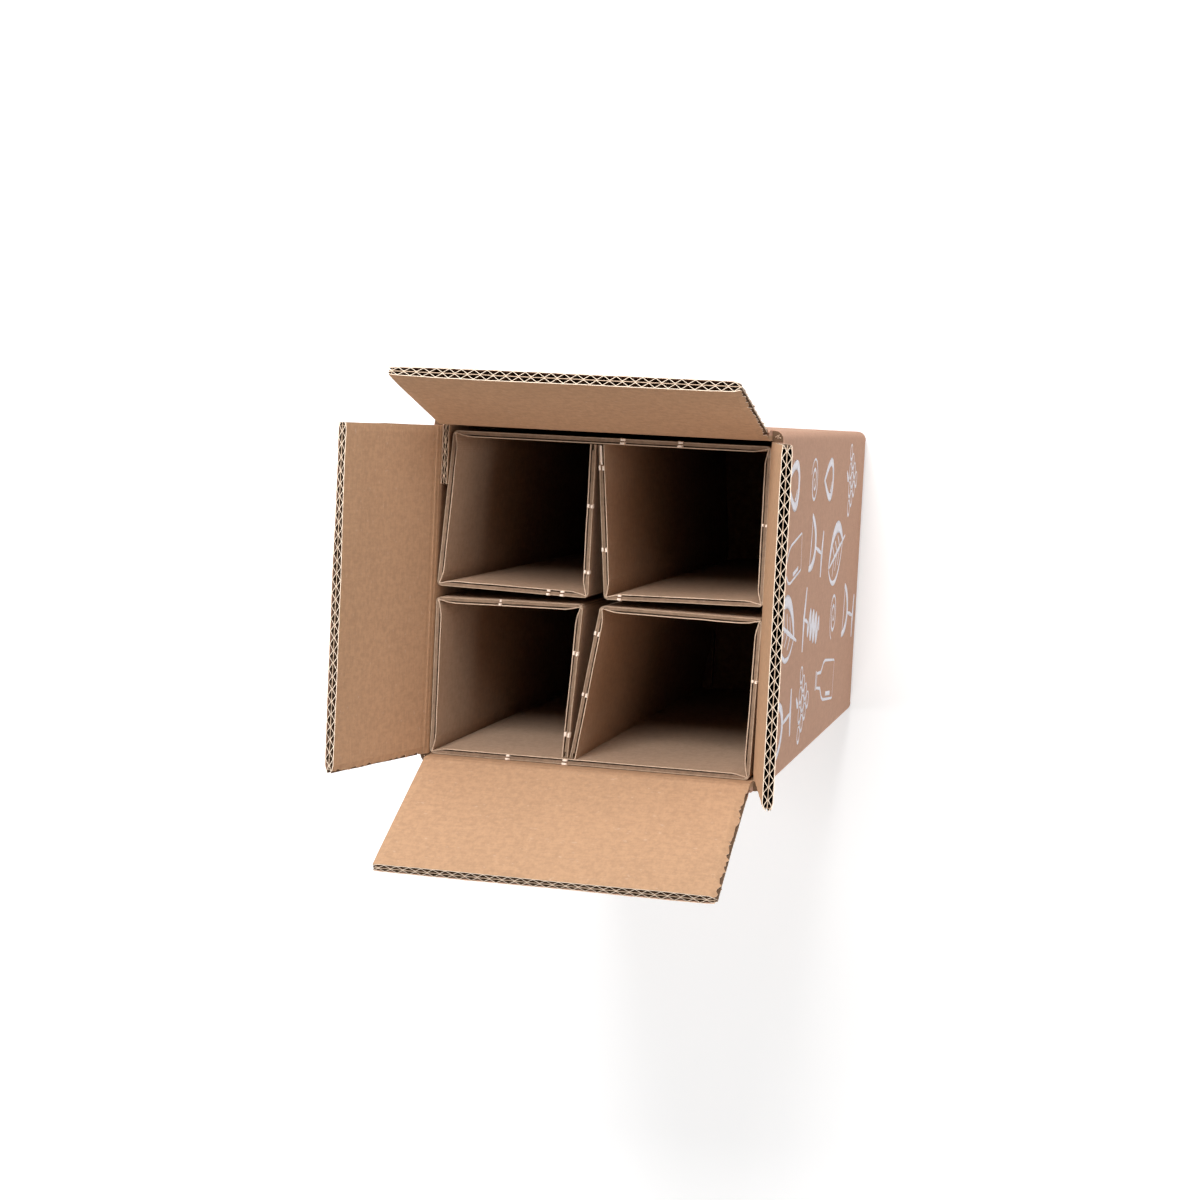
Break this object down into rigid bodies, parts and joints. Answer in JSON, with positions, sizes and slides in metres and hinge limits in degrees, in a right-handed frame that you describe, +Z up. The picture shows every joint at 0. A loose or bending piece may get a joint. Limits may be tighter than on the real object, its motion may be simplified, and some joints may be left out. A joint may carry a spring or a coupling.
{
  "type": "bottle shipping box",
  "caption": "Upright slotted carton of double-wall corrugated board with open creased mouth flaps and folded single-wall inserts that divide it into bottle cells.",
  "frame": {"origin": "centre of the carton's underside, on the floor", "axes": "+Z up along the carton towards its open mouth, -Y towards the front wall, whose flap leans out furthest, +X towards the printed right wall"},
  "size_m": [0.2301, 0.2559, 0.4769],
  "materials": {
    "carton_board": "matte kraft liner",
    "insert_sheet": "matte kraft liner"
  },
  "bodies": {
    "carton": {"carton_body": "carton_board", "insert_rear": "insert_sheet", "insert_front": "insert_sheet"},
    "rear_flap": {"flap_rear": "carton_board"},
    "left_flap": {"flap_left": "carton_board"},
    "front_flap": {"flap_front": "carton_board"},
    "right_flap": {"flap_right": "carton_board"}
  },
  "joints": [
    {"name": "rear_crease", "type": "hinge", "parent": "carton", "child": "rear_flap", "pos_m": [0, 0.0922, 0.388], "axis": [-1, 0, 0], "range_deg": [-104.7, 120.3]},
    {"name": "left_crease", "type": "hinge", "parent": "carton", "child": "left_flap", "pos_m": [-0.0922, 0, 0.382], "axis": [0, -1, 0], "range_deg": [-103.5, 121.5]},
    {"name": "front_crease", "type": "hinge", "parent": "carton", "child": "front_flap", "pos_m": [0, -0.0922, 0.388], "axis": [1, 0, 0], "range_deg": [-118.2, 106.8]},
    {"name": "right_crease", "type": "hinge", "parent": "carton", "child": "right_flap", "pos_m": [0.0922, 0, 0.382], "axis": [0, 1, 0], "range_deg": [-102, 123]}
  ]
}
